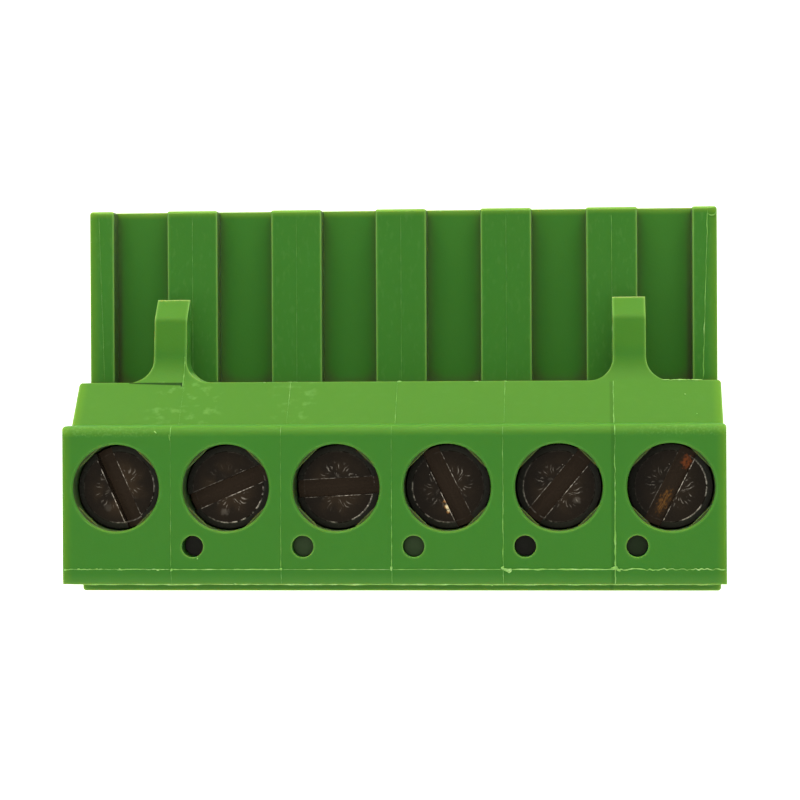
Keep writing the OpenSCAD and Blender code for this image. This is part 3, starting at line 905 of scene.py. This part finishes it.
def finger_height(y):
    """Height of a finger's top over a place from the wire side: the slope, then its hollow curve."""
    run = math.atan2(SLOPE_DROP, SLOPE_LENGTH)
    middle = SHOULDER + FINGER_BLEND * math.sin(run), FOOT_Z + FINGER_BLEND * math.cos(run)
    slope = FOOT_Z - (y - SHOULDER) * math.tan(run)
    curve = middle[1] - np.sqrt(FINGER_BLEND ** 2 - (y - middle[0]) ** 2)
    return np.where(y < SHOULDER, slope, curve)


class TERMINAL_OT_housing(bpy.types.Operator):
    """Finish the moulding in clouded green plastic"""

    bl_idname = "terminal.housing"
    bl_label = "Housing"

    def execute(self, context):
        dress(["housing"], green_plastic(context.scene.block_looks.plastic))
        return {"FINISHED"}


class TERMINAL_OT_flash(bpy.types.Operator):
    """Lay the mould's flash lines, blobs and grains on the moulding, and painted shade sheets in the test
    holes
    """

    bl_idname = "terminal.flash"
    bl_label = "Flash"

    def line(self, start, end, strength, up=(0, 0, 1), knots=24, grow=0.0, wave=1.0, lie=None):
        """A line of flash that wanders sideways and swells and thins along its way.

        It grows from its start to its end by a share of its strength. Where lie is given, that function
        of the place from the wire side gives its height."""
        count = knots * 4
        t = np.linspace(0, 1, count)[:, None]
        path = np.array(start) * (1 - t) + np.array(end) * t
        along = (path[-1] - path[0]) / np.linalg.norm(path[-1] - path[0])
        sideways = np.cross(along, up)
        aside = wander(count, knots, self.random) * self.look.wander / MM * strength * wave
        path = path + aside[:, None] * sideways
        if lie:
            path[:, 2] = lie(path[:, 1])
        fade = np.clip(30 * np.minimum(t, 1 - t)[:, 0], 0.02, 1)
        rise = 1 + grow * (2 * t[:, 0] - 1)
        swell = np.clip(0.75 + 0.5 * wander(count, knots, self.random), 0.15, None) * strength * rise
        width = self.look.width / MM * swell * fade
        height = self.look.height / MM * np.sqrt(swell) * fade
        return ridge(path, sideways, np.array(up), width, height)

    def curl(self, middle, radius, start, end, strength):
        """A line of flash that runs round a middle from one angle to another, in degrees."""
        turn = np.radians(np.linspace(start, end, 24))
        out = np.stack([np.cos(turn), np.sin(turn), 0 * turn], -1)
        swell = np.clip(np.sin(np.linspace(0, np.pi, 24)), 0.1, 1) * strength
        return ridge(np.array(middle) + radius * out, out[:, None], np.array([0, 0, 1]),
                     self.look.width / MM * swell, self.look.height / MM * swell)

    def over_edge(self, x, strength):
        """A line of flash that runs over the face's round rear edge at a place along the row."""
        turn = np.radians(np.linspace(0, 75, 16))
        out = np.stack([0 * turn, np.sin(turn), np.cos(turn)], -1)
        middle = np.array([x, FACE_END - FACE_EDGE, FACE_Z - FACE_EDGE])
        swell = np.clip(np.sin(np.linspace(0.4, np.pi, 16)), 0.1, 1) * strength
        return ridge(middle + FACE_EDGE * out, np.array([1, 0, 0]), out[:, None],
                     self.look.width / MM * swell, self.look.height / MM * swell)

    def edge_lines(self):
        """Along the front edge, the face's front, the foot of the slope and the nose's bevels."""
        lines = [self.line((LOW[0] + 0.2, FRONT_WALL, FRONT_Z), (HIGH[0] - 0.2, FRONT_WALL, FRONT_Z), 0.9,
                           knots=96, wave=0.3)]
        for left, right, strength, knots, wave in FOOT_SEAMS:
            lines.append(self.line((left, SHOULDER, FOOT_Z), (right, SHOULDER, FOOT_Z), strength,
                                   knots=knots, wave=wave))
        lines.append(self.curl((HIGH[0] - 0.25, HIGH[1] - 0.25, NOSE_TOP - 0.02), 0.2, 160, 380, 0.8))
        corners = np.concatenate([[LOW[0]], SEAM_X, [HIGH[0]]])
        for left, right, (strength, wave) in zip(corners, corners[1:], FRONT_SEAMS):
            lines.append(self.line((left, FACE_START, FACE_Z), (right, FACE_START, FACE_Z), strength,
                                   knots=24 if wave < 1 else 40, wave=wave))
        for side, strength in ((-1, 0.25), (1, 0.9)):
            end = side * HIGH[0]
            lines.append(self.line((end - side * END_BEVEL_TIP, HIGH[1] - 0.15, NOSE_TOP),
                                   (end - side * END_BEVEL_ROOT, SHOULDER, NOSE_TOP), strength))
        return lines

    def seam_lines(self):
        """Between each clamp and the next, and beside the left finger's step."""
        tilt = np.array([0, SLOPE_DROP, SLOPE_LENGTH])
        slope_up = tilt / np.linalg.norm(tilt)
        low, high = STEP_SEAM
        lines = [self.line((STEP_END + 0.04, low, FOOT_Z), (STEP_END + 0.04, high, FOOT_Z), 0.6,
                           knots=10, lie=finger_height)]
        for x, face, (slope, growth), rib in zip(SEAM_X, FACE_SEAMS, SLOPE_SEAMS, RIB_SEAMS):
            lines += [
                self.line((x, FACE_END - FACE_EDGE, FACE_Z), (x, FACE_START, FACE_Z), face, grow=0.6),
                self.line((x, FACE_START, FACE_Z), (x, FRONT_WALL + 0.02, FRONT_Z), face * 0.7, knots=6),
                self.line((x, SHOULDER, FOOT_Z), (x, FACE_END, SLOPE_Z), slope,
                          up=slope_up, knots=12, grow=growth),
                self.line((x, HIGH[1] - 0.3, NOSE_TOP), (x, SHOULDER + 0.05, NOSE_TOP), rib),
            ]
        return lines

    def execute(self, context):
        self.look = context.scene.block_looks.flash
        self.random = np.random.default_rng(self.look.seed)
        lumps = []
        for x, y, a, b, turn in BLOBS:
            lumps.append(grain((x, FACE_START + y, FACE_Z), (a, b, 0.04), turn, self.random))
        for x, y, a, b, turn in GRAINS:
            place = x, FRONT_WALL + y, float(face_height(FRONT_WALL + y))
            lumps.append(grain(place, (a, b, 0.03), turn, self.random))
        lines = self.edge_lines() + self.seam_lines()
        lines += [self.over_edge(x, strength) for x, strength in zip(SEAM_X, EDGE_SEAMS)]
        for x, a, b in NUBS:
            place = x, SHOULDER - 0.03, FOOT_Z
            lumps.append(grain(place, (a, b, 0.04), 0, self.random))
        new_piece("mould_flash", lines + lumps, thin_flash(self.look), "housing")
        # Sheets that paint the shade and dim light deep in the test holes
        shade_sheets = []
        for number, depth in HOLE_SHADE_SHEETS:
            place = AXES[f"screw_{number + 1}"][0] - PROBE_SIDE, FRONT_WALL + PROBE_INSET, FACE_Z - depth
            shade_sheets.append(shade_sheet_disc(place, PROBE_RADIUS + 0.01, SHADE_SHEET_THICKNESS))
        new_piece("hole_shade_sheets", shade_sheets, hole_shade_sheet(self.look), "housing")
        return {"FINISHED"}


class TERMINAL_OT_screws(bpy.types.Operator):
    """Cut a thread on each clamp screw; finish it in scratched metal with painted reflection and
    highlights
    """

    bl_idname = "terminal.screws"
    bl_label = "Screws"

    def execute(self, context):
        look = context.scene.block_looks.screw
        for number in NUMBERS:
            self.make_screw(look, number)
        return {"FINISHED"}

    def make_screw(self, look, number):
        """The CAD screw's head, with a threaded shank in place of its plain one."""
        name = f"screw_{number}"
        axis = AXES[name]
        head_z = HEAD_TOP - HEAD_HEIGHT
        work = bmesh.new()
        work.from_mesh(frame["nodes"][name].data)
        bmesh.ops.remove_doubles(work, verts=work.verts, dist=NEAR * MM)
        plain = [f for f in work.faces if f.calc_center_median().z < (head_z - 2 * NEAR) * MM]
        bmesh.ops.delete(work, geom=plain, context="FACES")
        x, y, z = (np.array([v.co for v in work.verts]) / MM - [axis[0], axis[1], head_z]).T
        on_rim = (abs(z) < 2 * NEAR) & (abs(np.hypot(x, y) - SHANK_RADIUS) < 2 * NEAR)
        turns = np.sort(np.arctan2(y[on_rim], x[on_rim]))
        if len(turns) < 8:
            raise RuntimeError(f"{name}: the rim of its shank wasn't found")
        mesh = bpy.data.meshes.new(f"{name}_head")
        work.to_mesh(mesh)
        work.free()
        corners = np.array([face.vertices[:] for face in mesh.polygons])
        head = np.array([v.co for v in mesh.vertices]) / MM, [corners]
        bpy.data.meshes.remove(mesh)
        points, kinds = threaded_shank(axis, turns, SCREW_LOW[2], head_z, SHANK_RADIUS,
                                       look.thread_pitch / MM, look.thread_depth / MM)
        # The fan over the shank's upper end is left out, so that it opens into the head
        shank = points[:-1], kinds[:-1]
        metal = metal_with_painted_reflection(look, number)
        piece = new_piece(f"clamp_{name}", [head, shank], metal, name)
        piece.data.set_sharp_from_angle(angle=math.radians(28))
        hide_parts(name)


class TERMINAL_OT_clamps(bpy.types.Operator):
    """Finish the rising cages in plated steel"""

    bl_idname = "terminal.clamps"
    bl_label = "Clamp cages"

    def execute(self, context):
        look = context.scene.block_looks.plating
        plated = plated_metal(look, "plated_cage", look.cage)
        dress([f"cage_{i}" for i in NUMBERS], plated)
        return {"FINISHED"}


class TERMINAL_OT_contacts(bpy.types.Operator):
    """Finish the contacts in dull tin"""

    bl_idname = "terminal.contacts"
    bl_label = "Contacts"

    def execute(self, context):
        look = context.scene.block_looks.plating
        tinned = plated_metal(look, "tinned_contact", look.contact)
        dress([f"contact_{i}" for i in NUMBERS], tinned)
        return {"FINISHED"}


class TERMINAL_OT_stage(bpy.types.Operator):
    """Set up the camera, the soft lights and the pale floor"""

    bl_idname = "terminal.stage"
    bl_label = "Stage"

    def execute(self, context):
        look = context.scene.block_looks.stage
        self.camera(context.scene, look)
        self.dome(context.scene, look)
        self.light("back_light", BACK_LIGHT, look.back, look.warm)
        self.light("front_light", FRONT_LIGHT, look.front, look.warm)
        self.floor(look)
        context.scene.view_settings.view_transform = "Standard"
        return {"FINISHED"}

    def camera(self, scene, look):
        """The camera looks down from over the right half of the block."""
        data = bpy.data.cameras.new("camera")
        data.lens = look.lens
        data.clip_start = 0.001
        camera = bpy.data.objects.new("camera", data)
        camera.location = look.place
        camera.rotation_euler = look.turn
        scene.collection.objects.link(camera)
        scene.camera = camera

    def dome(self, scene, look):
        """Soft light all round that is bright near the horizon and dark overhead."""
        scene.world = bpy.data.worlds.new("dome")
        scene.world.use_nodes = True
        tree = scene.world.node_tree
        start = Field(tree)
        height = start.node("ShaderNodeTexCoord", {}, {}, "Generated").parts()[2]
        stops = [(rise, (level, level, level, 1.0)) for rise, level in DOME_LEVELS]
        tint = start.node("ShaderNodeValToRGB", {"stops": stops}, {"Fac": height})
        background = tree.nodes["Background"]
        background.inputs["Strength"].default_value = look.dome
        tree.links.new(tint.socket, background.inputs["Color"])

    def light(self, name, place, power, tint):
        """A soft light that faces the middle of the block."""
        data = bpy.data.lights.new(name, "AREA")
        data.shape = "RECTANGLE"
        data.size, data.size_y = LIGHT_SIZE
        data.energy = power
        data.color = tint[:3]
        light = bpy.data.objects.new(name, data)
        light.location = place
        aim = light.location.copy()
        aim.negate()
        light.rotation_euler = aim.to_track_quat("-Z", "Y").to_euler()
        bpy.context.scene.collection.objects.link(light)

    def floor(self, look):
        """A flat square grid under the block, seen from above only."""
        across = FLOOR_CELLS + 1
        line = np.linspace(-FLOOR_HALF, FLOOR_HALF, across)
        x, y = np.meshgrid(line, line)
        points = np.stack([x, y, np.full_like(x, -FLOOR_DROP)], -1).reshape(-1, 3)
        cell = np.arange(FLOOR_CELLS)
        faces = (cell[:, None] * across + cell).reshape(-1, 1) + [0, 1, across + 1, across]
        finish = Finish("pale_floor", {
            "Base Color": look.floor,
            "Roughness": 0.8,
            "Emission Color": (1.0, 1.0, 1.0, 1.0),
            "Emission Strength": look.floor_glow,
        })
        under = finish.start.node("ShaderNodeNewGeometry", {}, {}, "Backfacing")
        clear = finish.start.node("ShaderNodeBsdfTransparent", {}, {})
        top = Field(finish.start.tree, finish.shader.outputs[0])
        shown = finish.start.node("ShaderNodeMixShader", {}, {0: under, 1: top, 2: clear})
        output = finish.start.tree.nodes["Material Output"]
        finish.start.tree.links.new(shown.socket, output.inputs["Surface"])
        new_piece("floor", [(points, [faces])], finish.material)


class TERMINAL_PT_panel(bpy.types.Panel):
    """Lists the block's looks and the steps that make them"""

    bl_idname = "TERMINAL_PT_panel"
    bl_label = "Terminal Block"
    bl_space_type = "VIEW_3D"
    bl_region_type = "UI"
    bl_category = "Terminal Block"

    def draw(self, context):
        looks = context.scene.block_looks
        for group in (looks.plastic, looks.flash, looks.screw, looks.plating, looks.stage):
            box = self.layout.box()
            for name in group.__annotations__:
                box.prop(group, name)
        for operator in OPERATORS:
            self.layout.operator(operator.bl_idname)


GROUPS = (PlasticLook, FlashLook, ScrewLook, PlatingLook, StageLook, BlockLooks)
OPERATORS = (TERMINAL_OT_housing, TERMINAL_OT_flash, TERMINAL_OT_screws, TERMINAL_OT_clamps,
             TERMINAL_OT_contacts, TERMINAL_OT_stage)
CLASSES = (*GROUPS, *OPERATORS, TERMINAL_PT_panel)


def register():
    for kind in CLASSES:
        bpy.utils.register_class(kind)
    bpy.types.Scene.block_looks = PointerProperty(type=BlockLooks)


def unregister():
    del bpy.types.Scene.block_looks
    for kind in reversed(CLASSES):
        bpy.utils.unregister_class(kind)


def main():
    register()
    bpy.ops.terminal.housing()
    bpy.ops.terminal.flash()
    bpy.ops.terminal.screws()
    bpy.ops.terminal.clamps()
    bpy.ops.terminal.contacts()
    bpy.ops.terminal.stage()


if __name__ == "__main__":
    main()
